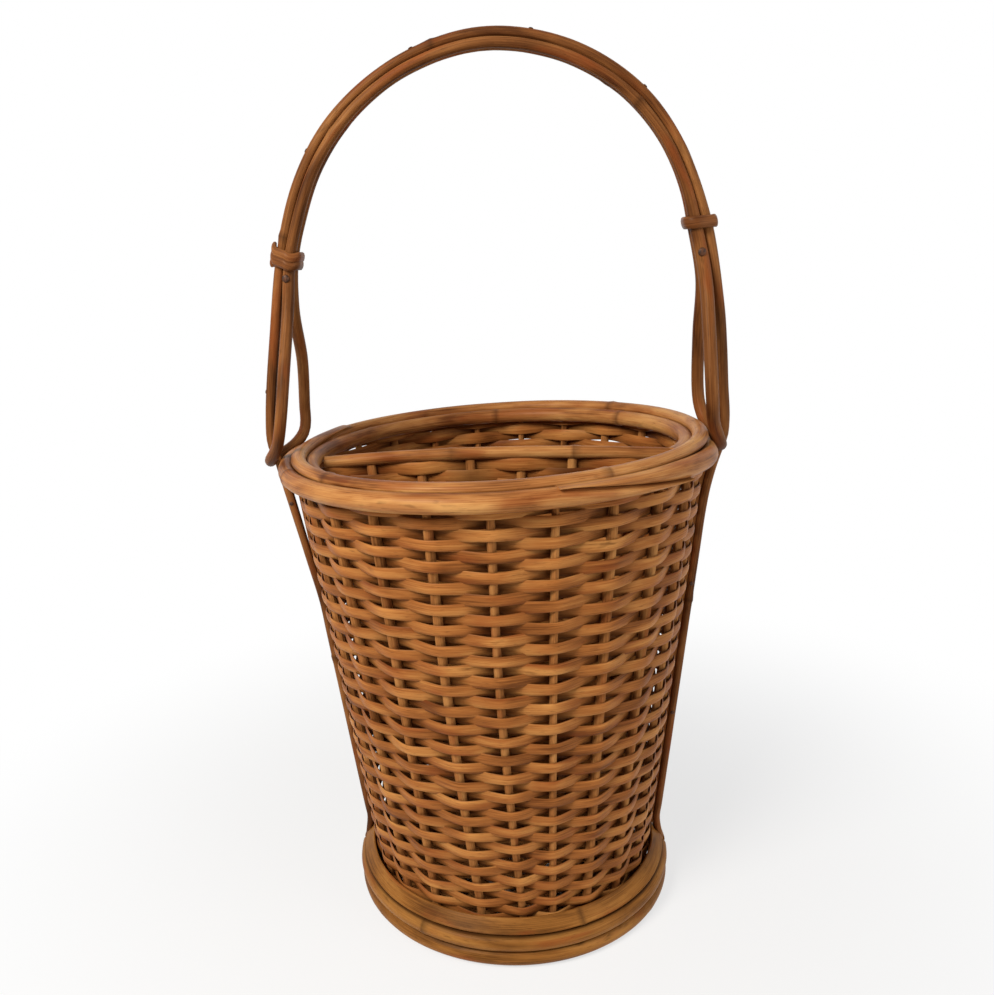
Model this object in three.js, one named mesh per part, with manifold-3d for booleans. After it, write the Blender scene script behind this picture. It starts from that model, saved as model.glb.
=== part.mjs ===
// Divided rattan basket: a round, slightly tapered woven basket on a foot of stacked rods,
// with a woven divider across the middle and a tall fixed hoop handle over it.
// Units are millimetres, +Z is up, and the origin is on the floor under the centre of the foot.
// X runs along the handle and the divider, so -Y looks at the front compartment.

import * as THREE from 'three';
import Module from 'manifold-3d';
import { mergeVertices } from 'three/addons/utils/BufferGeometryUtils.js';

// Fits
const GAP = 0.3; // running gap between two pieces that touch
const PRESS_GAP = 0.4; // gap where a bent rod lies against a round one

// Woven wall
const STAKE_COUNT = 23; // odd, so that one long strip can weave the whole wall
const STAKE_RADIUS = 2.1;
const STAKE_TIP_RADIUS = 1.6; // shaved thinner where they pass between the rim rods
const STRIP_THICKNESS = 1.2;
const FOOT_STAKE_CIRCLE = 85; // radius of the ring of stakes in the foot
const RIM_STAKE_CIRCLE = 105.2; // radius of the ring of stakes at the rim
const TAPER_HEIGHT = 30; // the stakes stand upright below this height and lean out above it
const STAKE_TURN = (2.7 * Math.PI) / 180; // the first stake stands this far before the left side rod
const STAKE_SWAY = (7.5 * Math.PI) / 180; // the front stakes are pulled sideways near the foot
const SWAY_MIDDLE = -Math.PI / 2 - (6 * Math.PI) / 180;
const SWAY_WIDTH = (18 * Math.PI) / 180;
const SWAY_HEIGHT = 200;
const SWAY_LEAST = (0.2 * Math.PI) / 180; // a stake that is pulled less than this is straight
const WEAVE_BOTTOM = 3; // the stakes end level with the lowest row
const WEAVE_TURNS = 16; // the strip is as wide as two or three of the real one's rows
const STRIP_LEAST_WIDTH = 2; // both of its ends are tapered, so that the wall ends level

// Foot
const FOOT_ROD_RADIUS = 5.5;
const FOOT_FLAT_DEPTH = 0.6; // the lowest ring is planed flat by this much
const BAND_WIDTH = 8; // the slanted band, measured outwards
const BAND_HEIGHT = 8.6;
const BAND_EDGE = 1; // its blunt edges
const BAND_NOTCH_DEPTH = 1.9; // cut deeper than the rod, which leans in towards the wall there

// Base
const BASE_THICKNESS = 7;
const BASE_TOP = 19;
const BASE_EDGE = 1.5;

// Rim
const RIM_HEIGHT = 275; // centre height of the outer rim rod
const RIM_OUTER_RADIUS = 5;
const RIM_INNER_RADIUS = 4.3;
const RIM_TOP_RADIUS = 3.2;

// Divider
const DIVIDER_STAKE_COUNT = 8;
const DIVIDER_STAKE_INSET = 5; // the last stake on either side stands this far inside the wall
const DIVIDER_ROWS = 15;
const DIVIDER_RAIL_RADIUS = 3.5;
const DIVIDER_RAIL_DROP = 2.4; // the rail's middle lies this far below the outer rim rod
const DIVIDER_RAIL_TILT = 2.6; // its right end is lower, and its left end is higher
const DIVIDER_RAIL_BOW = 3; // both of its ends hang lower than its middle

// Handle
const HANDLE_ROD_RADIUS = 2.9;
const BATTEN_WIDTH = 8;
const BATTEN_THICKNESS = 1.2;
const BATTEN_BOTTOM = 32;
const BATTEN_DROP = 13; // the battens end this far below the outer rim rod
const SIDE_ROD_LET_IN = 3.4; // the rod's axis lies this far inside the foot's outer edge
const LEFT_ROD_SWING = 85; // the last stretch below the rim, where the left rod swings clear of the wall
const RIGHT_ROD_SWING = 45; // the right one follows the wall for longer and bends more sharply
const HOOP_RISE = 185; // from the outer rim rod to the top rod's crown
const HOOP_BULGE = 1.3; // the hoop is widest just above the rim
const COLLAR_RISE = 101;
const LEG_SPREAD = 28; // half the distance between the front and back leg of a loop
const LEG_SPREAD_RISE = 23;
const LEG_INSET = 11; // the legs lie this far inside the top rod, where they are widest apart
const RIGHT_LOOP_HEIGHT = 7.8; // the right loop turns between the rim and the top rod
const RIGHT_LOOP_INSET = 5.3;
const LEFT_LOOP_HEIGHT = 2; // the left loop turns outside the top rod
const LEFT_LOOP_OUTSET = 6.4;
const COLLAR_THICKNESS = 2.2;
const COLLAR_WIDTH = 5.6;
const COLLAR_CORD_RADIUS = 1.3;
const COLLAR_CORD_TURNS = 2;
const COLLAR_CORD_PITCH = 3.2;

// The hoop's bend above the rim, as shares of its half width and of its rise
const HOOP_BEND = [
  [1, 0.05],
  [0.987, 0.135],
  [0.924, 0.346],
  [0.845, 0.562],
  [0.733, 0.732],
  [0.573, 0.858],
  [0.315, 0.959],
];

// Where the inner rods are held to the top rod, as shares of the way from collar to crown
const BUNDLE_STATIONS = [0.964, 0.881, 0.714, 0.476, 0.214, 0];

// A leg between the collar and its widest place: share of the way up, of the inset and of the spread
const LEG_BEND = [
  [0.692, 0.6, 0.22],
  [0.346, 0.9, 0.72],
  [0, 1, 1],
];

// Facets
const SEGMENTS = 2 * STAKE_COUNT; // round pieces have a corner at every stake
const ROD_SIDES = 8;
const RING_SIDES = 8;
const TOP_RING_SIDES = 6; // the thinnest ring
const STAKE_SIDES = 6;
const SPINE_STEPS = 96;
const LOOP_STEPS = 120;

// Worked out from the sizes above
const weaveSwing = STAKE_RADIUS + GAP + STRIP_THICKNESS / 2;
const wallHalf = weaveSwing + STRIP_THICKNESS / 2;
const stakeAngle = (2 * Math.PI) / STAKE_COUNT;
const rimOuterCircle = RIM_STAKE_CIRCLE + STAKE_TIP_RADIUS + GAP + RIM_OUTER_RADIUS;
const rimInnerCircle = RIM_STAKE_CIRCLE - STAKE_TIP_RADIUS - GAP - RIM_INNER_RADIUS;
const rimTopHeight = RIM_HEIGHT
  + Math.sqrt((RIM_OUTER_RADIUS + RIM_TOP_RADIUS + GAP) ** 2 - (rimOuterCircle - RIM_STAKE_CIRCLE) ** 2);
const rimInnerHeight = rimTopHeight
  - Math.sqrt((RIM_INNER_RADIUS + RIM_TOP_RADIUS + GAP) ** 2 - (RIM_STAKE_CIRCLE - rimInnerCircle) ** 2);
const weaveTop = RIM_HEIGHT - RIM_OUTER_RADIUS - GAP;
const stakeTop = rimTopHeight - RIM_TOP_RADIUS - GAP;
const footInner = FOOT_STAKE_CIRCLE + wallHalf + GAP;
const footCircle = footInner + FOOT_ROD_RADIUS;
const lowerFootHeight = FOOT_ROD_RADIUS - FOOT_FLAT_DEPTH;
const upperFootHeight = lowerFootHeight + 2 * FOOT_ROD_RADIUS + GAP;
const bandBottom = upperFootHeight + FOOT_ROD_RADIUS + GAP;
const pairHalf = HANDLE_ROD_RADIUS + GAP / 2;
const pairDrop = Math.sqrt((2 * HANDLE_ROD_RADIUS + GAP) ** 2 - pairHalf ** 2);
const sideRodReach = footCircle + FOOT_ROD_RADIUS - SIDE_ROD_LET_IN;
const sideRodEnd = lowerFootHeight + FOOT_ROD_RADIUS + PRESS_GAP;
const sideRodOffset = wallHalf + PRESS_GAP + BATTEN_THICKNESS + PRESS_GAP + HANDLE_ROD_RADIUS;
const rodAtRim = rimOuterCircle + RIM_OUTER_RADIUS + PRESS_GAP + HANDLE_ROD_RADIUS;
const battenTop = RIM_HEIGHT - BATTEN_DROP;
const hoopTop = RIM_HEIGHT + HOOP_RISE;
const collarHeight = RIM_HEIGHT + COLLAR_RISE;

// Radius of the circle of stakes at a height
function stakeCircle(z) {
  const lean = (RIM_STAKE_CIRCLE - FOOT_STAKE_CIRCLE) / (RIM_HEIGHT - TAPER_HEIGHT);
  return FOOT_STAKE_CIRCLE + lean * Math.max(0, z - TAPER_HEIGHT);
}

const wasm = await Module();
wasm.setup();

function toSolid(geometry) {
  const bare = geometry.clone();
  bare.deleteAttribute('normal');
  bare.deleteAttribute('uv');
  const merged = mergeVertices(bare, 1e-4);
  return new wasm.Manifold(new wasm.Mesh({
    numProp: 3,
    vertProperties: new Float32Array(merged.attributes.position.array),
    triVerts: new Uint32Array(merged.index.array),
  }));
}

function toGeometry(solid) {
  const mesh = solid.getMesh();
  const geometry = new THREE.BufferGeometry();
  geometry.setAttribute('position', new THREE.BufferAttribute(new Float32Array(mesh.vertProperties), 3));
  geometry.setIndex(new THREE.BufferAttribute(new Uint32Array(mesh.triVerts), 1));
  geometry.computeVertexNormals();
  return geometry;
}

function cut(geometry, cutters) {
  let solid = toSolid(geometry);
  for (const cutter of cutters) {
    solid = solid.subtract(toSolid(cutter));
  }
  return toGeometry(solid);
}

// A ring turned about Z from a closed profile of [radius, height] points
function turned(profile) {
  const points = profile.map(([r, z]) => new THREE.Vector2(r, z));
  points.push(points[0].clone());
  return new THREE.LatheGeometry(points, SEGMENTS, Math.PI / 2).rotateX(Math.PI / 2);
}

function rodRing(circle, height, radius, sides = RING_SIDES) {
  const profile = [];
  for (let i = 0; i < sides; i += 1) {
    const a = (2 * Math.PI * i) / sides;
    profile.push([circle + radius * Math.cos(a), height + radius * Math.sin(a)]);
  }
  return turned(profile);
}

// The lowest ring has a flat planed on its underside, and stands on it
function flatFootRing() {
  const half = Math.acos(lowerFootHeight / FOOT_ROD_RADIUS);
  const profile = [];
  for (let i = 0; i <= RING_SIDES; i += 1) {
    const a = -Math.PI / 2 + half + ((2 * Math.PI - 2 * half) * i) / RING_SIDES;
    const out = FOOT_ROD_RADIUS * Math.cos(a);
    profile.push([footCircle + out, lowerFootHeight + FOOT_ROD_RADIUS * Math.sin(a)]);
  }
  return turned(profile);
}

// The band covers the corner between the wall and the foot with one slanted face.
// It stands a little further out than the foot, because the strip beside it already leans out.
function footBand() {
  const inner = footInner + GAP;
  return turned([
    [inner, bandBottom],
    [footInner + BAND_WIDTH - BAND_EDGE, bandBottom],
    [footInner + BAND_WIDTH, bandBottom + BAND_EDGE],
    [inner + BAND_EDGE, bandBottom + BAND_HEIGHT],
    [inner, bandBottom + BAND_HEIGHT],
  ]);
}

// Square notches at both ends of X, where the side rods are let into the foot
function sideRodNotches(depthUnderRod) {
  const inner = sideRodReach - HANDLE_ROD_RADIUS - depthUnderRod;
  const depth = 2 * FOOT_ROD_RADIUS;
  const height = BAND_HEIGHT + 2 * (FOOT_ROD_RADIUS + GAP) + 2;
  return [1, -1].map((side) => new THREE.BoxGeometry(depth, 2 * (HANDLE_ROD_RADIUS + GAP), height)
    .translate(side * (inner + depth / 2), 0, upperFootHeight - FOOT_ROD_RADIUS - GAP / 2 + height / 2));
}

// A closed solid through outlines that all have the same number of [x, y, z] points.
// The points of an outline run counter-clockwise for an eye that the solid grows towards.
function lofted(outlines) {
  const sides = outlines[0].length;
  const faces = [];
  for (let k = 0; k + 1 < outlines.length; k += 1) {
    for (let i = 0; i < sides; i += 1) {
      const a = k * sides + i;
      const b = k * sides + ((i + 1) % sides);
      faces.push(a, b, b + sides, a, b + sides, a + sides);
    }
  }
  const top = (outlines.length - 1) * sides;
  for (let i = 1; i + 1 < sides; i += 1) {
    faces.push(0, i + 1, i, top, top + i, top + i + 1);
  }
  const geometry = new THREE.BufferGeometry();
  geometry.setAttribute('position', new THREE.Float32BufferAttribute(outlines.flat(2), 3));
  geometry.setIndex(faces);
  geometry.computeVertexNormals();
  return geometry;
}

// An upright rod through [x, y, z, radius] points, with level ends
function standingRod(points) {
  return lofted(points.map(([x, y, z, radius]) => {
    const outline = [];
    for (let i = 0; i < STAKE_SIDES; i += 1) {
      const a = (2 * Math.PI * i) / STAKE_SIDES;
      outline.push([x + radius * Math.cos(a), y + radius * Math.sin(a), z]);
    }
    return outline;
  }));
}

// The first stake stands near the left side rod
const stakePlace = (i) => Math.PI - STAKE_TURN + i * stakeAngle;

// How far a stake is pulled sideways near the foot, as an angle
function stakePull(i) {
  const past = (stakePlace(i) - SWAY_MIDDLE) % (2 * Math.PI);
  const fromFront = Math.min(past, 2 * Math.PI - past);
  return STAKE_SWAY * Math.exp(-((fromFront / SWAY_WIDTH) ** 2));
}

function stakeAngleAt(i, z) {
  return stakePlace(i) + stakePull(i) * Math.max(0, 1 - Math.max(z, TAPER_HEIGHT) / SWAY_HEIGHT) ** 1.5;
}

function wallStake(i) {
  const at = (z, radius) => {
    const a = stakeAngleAt(i, z);
    return [stakeCircle(z) * Math.cos(a), stakeCircle(z) * Math.sin(a), z, radius];
  };
  const bends = stakePull(i) > SWAY_LEAST ? [(TAPER_HEIGHT + SWAY_HEIGHT) / 2, SWAY_HEIGHT] : [];
  return standingRod([
    ...[WEAVE_BOTTOM, TAPER_HEIGHT, ...bends, weaveTop - 2 * STAKE_RADIUS].map((z) => at(z, STAKE_RADIUS)),
    at(weaveTop, STAKE_TIP_RADIUS),
    at(stakeTop, STAKE_TIP_RADIUS),
  ]);
}

// One flat strip winds up the wall, outside one stake and inside the next
function wallWeave() {
  const rise = (weaveTop - WEAVE_BOTTOM) / WEAVE_TURNS;
  const outlines = [];
  for (let i = 0; i <= (WEAVE_TURNS + 1) * STAKE_COUNT; i += 1) {
    const edge = WEAVE_BOTTOM + (rise * i) / STAKE_COUNT;
    const low = Math.max(WEAVE_BOTTOM, edge - rise + GAP);
    const high = Math.min(weaveTop, edge);
    if (high - low >= STRIP_LEAST_WIDTH) {
      const out = i % 2 ? weaveSwing : -weaveSwing;
      outlines.push([[-1, low], [-1, high], [1, high], [1, low]].map(([face, z]) => {
        const a = stakeAngleAt(i, z);
        const r = stakeCircle(z) + out + (face * STRIP_THICKNESS) / 2;
        return [r * Math.cos(a), r * Math.sin(a), z];
      }));
    }
  }
  return lofted(outlines);
}

function baseDisc() {
  const radius = FOOT_STAKE_CIRCLE - wallHalf - GAP;
  const points = [
    new THREE.Vector2(0, BASE_TOP - BASE_THICKNESS),
    new THREE.Vector2(radius - BASE_EDGE, BASE_TOP - BASE_THICKNESS),
    new THREE.Vector2(radius, BASE_TOP - BASE_THICKNESS + BASE_EDGE),
    new THREE.Vector2(radius, BASE_TOP - BASE_EDGE),
    new THREE.Vector2(radius - BASE_EDGE, BASE_TOP),
    new THREE.Vector2(0, BASE_TOP),
  ];
  return new THREE.LatheGeometry(points, SEGMENTS, Math.PI / 2).rotateX(Math.PI / 2);
}

// Divider
const dividerFoot = BASE_TOP + GAP;
const dividerRailEnd = rimInnerCircle - RIM_INNER_RADIUS - GAP;

// The rail is a little bowed and lies tilted
function railHeight(x) {
  const share = x / dividerRailEnd;
  return RIM_HEIGHT - DIVIDER_RAIL_DROP - DIVIDER_RAIL_TILT * share - DIVIDER_RAIL_BOW * share ** 2;
}

// The stakes of the divider fan out with the wall
function dividerStakeX(i, z) {
  const last = stakeCircle(z) - wallHalf - DIVIDER_STAKE_INSET;
  return last * ((2 * i) / (DIVIDER_STAKE_COUNT - 1) - 1);
}

function dividerStake(i) {
  const under = RIM_HEIGHT - DIVIDER_RAIL_DROP - DIVIDER_RAIL_RADIUS;
  const top = railHeight(dividerStakeX(i, under)) - DIVIDER_RAIL_RADIUS - GAP;
  return standingRod([dividerFoot, TAPER_HEIGHT, top].map((z) => [dividerStakeX(i, z), 0, z, STAKE_RADIUS]));
}

// One strip goes to and fro, in front of one stake and behind the next, and turns back round the last
function dividerWeave() {
  const top = railHeight(dividerRailEnd) - DIVIDER_RAIL_RADIUS - GAP;
  const rise = (top - dividerFoot) / DIVIDER_ROWS;
  const half = STRIP_THICKNESS / 2;
  const outlines = [];
  // Beside stake i, [x, y] away from it. [leftX, leftY] points to the left of the way the strip goes.
  const station = (i, [x, y], z, [leftX, leftY]) => {
    const low = z - (rise - GAP) / 2;
    const high = z + (rise - GAP) / 2;
    outlines.push([[half, low], [half, high], [-half, high], [-half, low]].map(([left, height]) => [
      dividerStakeX(i, height) + x + left * leftX,
      y + left * leftY,
      height,
    ]));
  };
  for (let row = 0; row < DIVIDER_ROWS; row += 1) {
    const z = dividerFoot + rise * (row + 0.5);
    const way = row % 2 ? -1 : 1;
    const side = (i) => ((i + row) % 2 ? 1 : -1);
    const last = DIVIDER_STAKE_COUNT - 1;
    const end = way > 0 ? last : 0;
    for (let k = row ? 1 : 0; k < last; k += 1) {
      const i = way > 0 ? k : last - k;
      station(i, [0, side(i) * weaveSwing], z, [0, way]);
    }
    const steps = row + 1 < DIVIDER_ROWS ? 4 : 0;
    for (let step = 0; step <= steps; step += 1) {
      const a = ((step - 2) * Math.PI) / 4;
      const round = [way * weaveSwing * Math.cos(a), -side(end) * weaveSwing * Math.sin(a)];
      station(end, round, z + (rise * step) / 4, [side(end) * Math.cos(a), -way * Math.sin(a)]);
    }
  }
  return lofted(outlines);
}

function dividerRail() {
  const points = [];
  for (let share = -1; share <= 1; share += 0.25) {
    const x = share * dividerRailEnd;
    points.push(new THREE.Vector3(x, 0, railHeight(x)));
  }
  return tube(new THREE.CatmullRomCurve3(points), DIVIDER_RAIL_RADIUS, points.length - 1, 2 * ROD_SIDES);
}

// Handle
function tube(path, radius, steps, sides = ROD_SIDES) {
  const section = new THREE.Shape().absarc(0, 0, radius, 0, 2 * Math.PI, false);
  return new THREE.ExtrudeGeometry(section, {
    steps,
    extrudePath: path,
    curveSegments: sides / 2, // the extruder makes two corners for each
    bevelEnabled: false,
  });
}

// Half of the top rod's route in the X-Z plane, from the foot to the hoop's crown.
// The ease is 1 where the rod swings out from the wall in a straight line, and more where it bends out.
function halfRoute(swing, ease) {
  const leavesWall = RIM_HEIGHT - swing;
  const meetsWall = TAPER_HEIGHT + FOOT_ROD_RADIUS;
  const beside = (z) => stakeCircle(z) + sideRodOffset;
  const againstWall = (share) => {
    const z = meetsWall + share * (leavesWall - meetsWall);
    return [beside(z), z];
  };
  const swingingOut = (share) => {
    const z = leavesWall + share * swing;
    return [beside(z) + share ** ease * (rodAtRim - beside(RIM_HEIGHT)), z];
  };
  return [
    [sideRodReach, sideRodEnd],
    [sideRodReach, upperFootHeight + FOOT_ROD_RADIUS / 2],
    ...[0, 0.06, 0.25, 0.5, 0.75, 0.88, 1].map(againstWall),
    ...[0.3, 0.6, 0.85, 1].map(swingingOut),
    ...HOOP_BEND.map(([wide, up]) => [wide * (rodAtRim + HOOP_BULGE), RIM_HEIGHT + up * HOOP_RISE]),
  ];
}

function spinePath() {
  const right = halfRoute(RIGHT_ROD_SWING, 2).map(([x, z]) => new THREE.Vector3(x, 0, z));
  const left = halfRoute(LEFT_ROD_SWING, 1).map(([x, z]) => new THREE.Vector3(-x, 0, z)).reverse();
  const crown = new THREE.Vector3(0, 0, hoopTop);
  return new THREE.CatmullRomCurve3([...right, crown, ...left], false, 'centripetal');
}

// Point and inward direction on the right half of the top rod, at a height above the rim
function onSpine(path, height) {
  let low = 0.25;
  let high = 0.5;
  for (let i = 0; i < 40; i += 1) {
    const middle = (low + high) / 2;
    if (path.getPoint(middle).z < height) {
      low = middle;
    } else {
      high = middle;
    }
  }
  const point = path.getPoint(low);
  const along = path.getTangent(low);
  return { point, along, inward: new THREE.Vector3(-along.z, 0, along.x) };
}

// One long rod makes both inner rods of the hoop and the two loops that hang from it.
// Its ends meet under the crown, in the back rod.
function loopPath(path) {
  const arch = BUNDLE_STATIONS.map((share) => {
    const { point, inward } = onSpine(path, collarHeight + share * (hoopTop - collarHeight));
    return point.addScaledVector(inward, pairDrop).setY(pairHalf);
  });
  const spreadHeight = RIM_HEIGHT + LEG_SPREAD_RISE;
  const leg = LEG_BEND.map(([up, inset, spread]) => {
    const z = spreadHeight + up * (collarHeight - spreadHeight);
    return new THREE.Vector3(onSpine(path, z).point.x - inset * LEG_INSET, spread * LEG_SPREAD, z);
  });
  const widest = leg.at(-1);
  const turn = (end, height) => [
    new THREE.Vector3(0.5 * (widest.x + end), 0.8 * LEG_SPREAD, 0.4 * spreadHeight + 0.6 * height),
    new THREE.Vector3(end, 0, height),
  ];
  const mirror = (points, sx, sy) => points.map((p) => new THREE.Vector3(sx * p.x, sy * p.y, p.z));
  const rightTurn = turn(rodAtRim - RIGHT_LOOP_INSET, RIM_HEIGHT + RIGHT_LOOP_HEIGHT);
  const leftTurn = turn(rodAtRim + LEFT_LOOP_OUTSET, RIM_HEIGHT + LEFT_LOOP_HEIGHT);
  const down = [...arch, ...leg];
  const crown = new THREE.Vector3(0, pairHalf, hoopTop - pairDrop);
  const start = crown.clone().setX(GAP);
  const end = crown.clone().setX(-GAP);
  return new THREE.CatmullRomCurve3([
    start,
    ...down,
    ...rightTurn,
    ...mirror([...down, rightTurn[0]].reverse(), 1, -1),
    ...mirror([crown], 1, -1),
    ...mirror([...down, ...leftTurn], -1, -1),
    ...mirror([...down, leftTurn[0]].reverse(), -1, 1),
    end,
  ], false, 'centripetal');
}

// Outline of the three handle rods drawn round at a distance, across the bundle
function bundleOutline(distance) {
  const outline = new THREE.Shape();
  outline.absarc(0, 0, distance, (7 * Math.PI) / 6, (11 * Math.PI) / 6, false);
  outline.absarc(pairHalf, pairDrop, distance, -Math.PI / 6, Math.PI / 2, false);
  outline.absarc(-pairHalf, pairDrop, distance, Math.PI / 2, (7 * Math.PI) / 6, false);
  return outline;
}

// The right collar is one flat hoop of split cane
function flatCollar() {
  const inside = HANDLE_ROD_RADIUS + GAP;
  const outline = bundleOutline(inside + COLLAR_THICKNESS);
  outline.holes.push(new THREE.Path(bundleOutline(inside).getPoints(4)));
  return new THREE.ExtrudeGeometry(outline, { depth: COLLAR_WIDTH, bevelEnabled: false, curveSegments: 4 })
    .translate(0, 0, -COLLAR_WIDTH / 2);
}

// The left collar is a thinner round cane wound twice
function woundCollar() {
  const stepsPerTurn = 16;
  const loop = bundleOutline(HANDLE_ROD_RADIUS + GAP + COLLAR_CORD_RADIUS).getSpacedPoints(stepsPerTurn);
  const points = [];
  for (let i = 0; i <= COLLAR_CORD_TURNS * stepsPerTurn; i += 1) {
    const { x, y } = loop[i % stepsPerTurn];
    points.push(new THREE.Vector3(x, y, COLLAR_CORD_PITCH * (i / stepsPerTurn - COLLAR_CORD_TURNS / 2)));
  }
  return tube(new THREE.CatmullRomCurve3(points), COLLAR_CORD_RADIUS, points.length - 1, 6);
}

// A collar's own axes: X across the handle, Y into the bundle, Z along the rods
function placeCollar(mesh, path, side) {
  const { point, along, inward } = onSpine(path, collarHeight);
  const flip = new THREE.Vector3(side, 1, 1);
  const into = inward.multiply(flip);
  const up = along.multiply(flip);
  const across = new THREE.Vector3().crossVectors(into, up);
  mesh.quaternion.setFromRotationMatrix(new THREE.Matrix4().makeBasis(across, into, up));
  mesh.position.copy(point.multiply(flip));
  return mesh;
}

// A flat strip of cane along the wall, under the side rod
function batten(side) {
  const inner = (z) => stakeCircle(z) + wallHalf + PRESS_GAP;
  const outline = new THREE.Shape([
    new THREE.Vector2(inner(BATTEN_BOTTOM), BATTEN_BOTTOM),
    new THREE.Vector2(inner(BATTEN_BOTTOM) + BATTEN_THICKNESS, BATTEN_BOTTOM),
    new THREE.Vector2(inner(battenTop) + BATTEN_THICKNESS, battenTop),
    new THREE.Vector2(inner(battenTop), battenTop),
  ]);
  const geometry = new THREE.ExtrudeGeometry(outline, { depth: BATTEN_WIDTH, bevelEnabled: false })
    .rotateX(Math.PI / 2)
    .translate(0, BATTEN_WIDTH / 2, 0);
  return side > 0 ? geometry : geometry.rotateZ(Math.PI);
}

// Assembly
const colours = {
  weave: 0xb07a42,
  stake: 0xb98a52,
  rim: 0x8f5f2f,
  foot: 0x7d5526,
  handle: 0x86532b,
  collar: 0x7b4a26,
  base: 0x9c6c3a,
};

const basket = new THREE.Group();

function piece(name, geometry, colour, roughness = 0.6) {
  const material = new THREE.MeshStandardMaterial({ color: colours[colour], roughness, metalness: 0 });
  const mesh = new THREE.Mesh(geometry, material);
  mesh.name = name;
  basket.add(mesh);
  return mesh;
}

const twoDigits = (i) => String(i + 1).padStart(2, '0');

piece('foot_ring_lower', flatFootRing(), 'foot', 0.5);
const upperRing = rodRing(footCircle, upperFootHeight, FOOT_ROD_RADIUS);
piece('foot_ring_upper', cut(upperRing, sideRodNotches(GAP)), 'foot', 0.5);
piece('foot_band', cut(footBand(), sideRodNotches(BAND_NOTCH_DEPTH)), 'foot', 0.5);
piece('base', baseDisc(), 'base', 0.7);
piece('wall_weave', wallWeave(), 'weave', 0.65);
for (let i = 0; i < STAKE_COUNT; i += 1) {
  piece(`wall_stake_${twoDigits(i)}`, wallStake(i), 'stake');
}
piece('rim_outer_ring', rodRing(rimOuterCircle, RIM_HEIGHT, RIM_OUTER_RADIUS), 'rim', 0.45);
piece('rim_inner_ring', rodRing(rimInnerCircle, rimInnerHeight, RIM_INNER_RADIUS), 'rim', 0.45);
piece('rim_top_ring', rodRing(RIM_STAKE_CIRCLE, rimTopHeight, RIM_TOP_RADIUS, TOP_RING_SIDES), 'rim', 0.45);
piece('divider_weave', dividerWeave(), 'weave', 0.65);
for (let i = 0; i < DIVIDER_STAKE_COUNT; i += 1) {
  piece(`divider_stake_${twoDigits(i)}`, dividerStake(i), 'stake');
}
piece('divider_rail', dividerRail(), 'rim', 0.45);
piece('batten_right', batten(1), 'stake', 0.55);
piece('batten_left', batten(-1), 'stake', 0.55);

const spine = spinePath();
piece('handle_spine', tube(spine, HANDLE_ROD_RADIUS, SPINE_STEPS), 'handle', 0.45);
piece('handle_loop_rod', tube(loopPath(spine), HANDLE_ROD_RADIUS, LOOP_STEPS), 'handle', 0.45);
placeCollar(piece('collar_right', flatCollar(), 'collar', 0.5), spine, 1);
placeCollar(piece('collar_left', woundCollar(), 'collar', 0.5), spine, -1);

export default basket;
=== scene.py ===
import math

import bpy
import numpy as np
from mathutils import Matrix, Vector, noise


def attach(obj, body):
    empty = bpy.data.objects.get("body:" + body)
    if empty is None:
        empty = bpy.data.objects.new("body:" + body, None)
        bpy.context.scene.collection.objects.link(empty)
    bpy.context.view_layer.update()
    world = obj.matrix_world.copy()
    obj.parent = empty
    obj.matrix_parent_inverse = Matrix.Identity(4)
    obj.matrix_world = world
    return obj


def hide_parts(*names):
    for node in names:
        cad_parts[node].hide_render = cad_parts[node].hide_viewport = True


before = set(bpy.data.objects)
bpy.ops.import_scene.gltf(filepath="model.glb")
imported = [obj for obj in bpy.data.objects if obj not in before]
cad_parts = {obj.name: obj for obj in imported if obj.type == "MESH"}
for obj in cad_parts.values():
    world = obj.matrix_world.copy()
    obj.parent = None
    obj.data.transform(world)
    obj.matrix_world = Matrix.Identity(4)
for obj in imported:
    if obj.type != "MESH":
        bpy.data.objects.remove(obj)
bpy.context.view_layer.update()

bpy.ops.object.select_all(action="DESELECT")

MM = 0.001
UP = Vector((0, 0, 1))
FRONT = Vector((0, -1, 0))

# Sizes, as in the CAD frame
STAKES = 23
STAKE_RADIUS = 2.1 * MM
STAKE_TIP_RADIUS = 1.6 * MM
FOOT_STAKE_CIRCLE = 85 * MM
RIM_STAKE_CIRCLE = 105.2 * MM
TAPER_HEIGHT = 30 * MM
RIM_HEIGHT = 275 * MM
STAKE_TURN = math.radians(2.7)
STAKE_SWAY = math.radians(7.5)
SWAY_MIDDLE = math.radians(-96)
SWAY_WIDTH = math.radians(18)
SWAY_HEIGHT = 200 * MM
SWAY_FALL = 1.5
LEAN = (RIM_STAKE_CIRCLE - FOOT_STAKE_CIRCLE) / (RIM_HEIGHT - TAPER_HEIGHT)
WALL_HALF = 3.6 * MM

FOOT_CIRCLE = 94.4 * MM
FOOT_RADIUS = 5.4 * MM
LOWER_FOOT_RADIUS = 5.3 * MM
LOWER_FOOT_HEIGHT = 5.85 * MM
UPPER_FOOT_HEIGHT = 16.2 * MM
RIM_OUTER_CIRCLE = 112 * MM
RIM_OUTER_RADIUS = 4.85 * MM
RIM_INNER_CIRCLE = 99.0 * MM
RIM_INNER_RADIUS = 4.3 * MM
RIM_INNER_HEIGHT = 275.2 * MM
RIM_TOP_RADIUS = 3.2 * MM
RIM_TOP_HEIGHT = 279.7 * MM

HANDLE_RADIUS = 2.9 * MM
PAIR_HALF = HANDLE_RADIUS + 0.15 * MM
PAIR_DROP = 5.28 * MM
ROD_AT_RIM = 120.4 * MM
COLLAR_HEIGHT = RIM_HEIGHT + 101 * MM
HOOP_RISE = 185 * MM
HOOP_TOP = RIM_HEIGHT + HOOP_RISE

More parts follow.
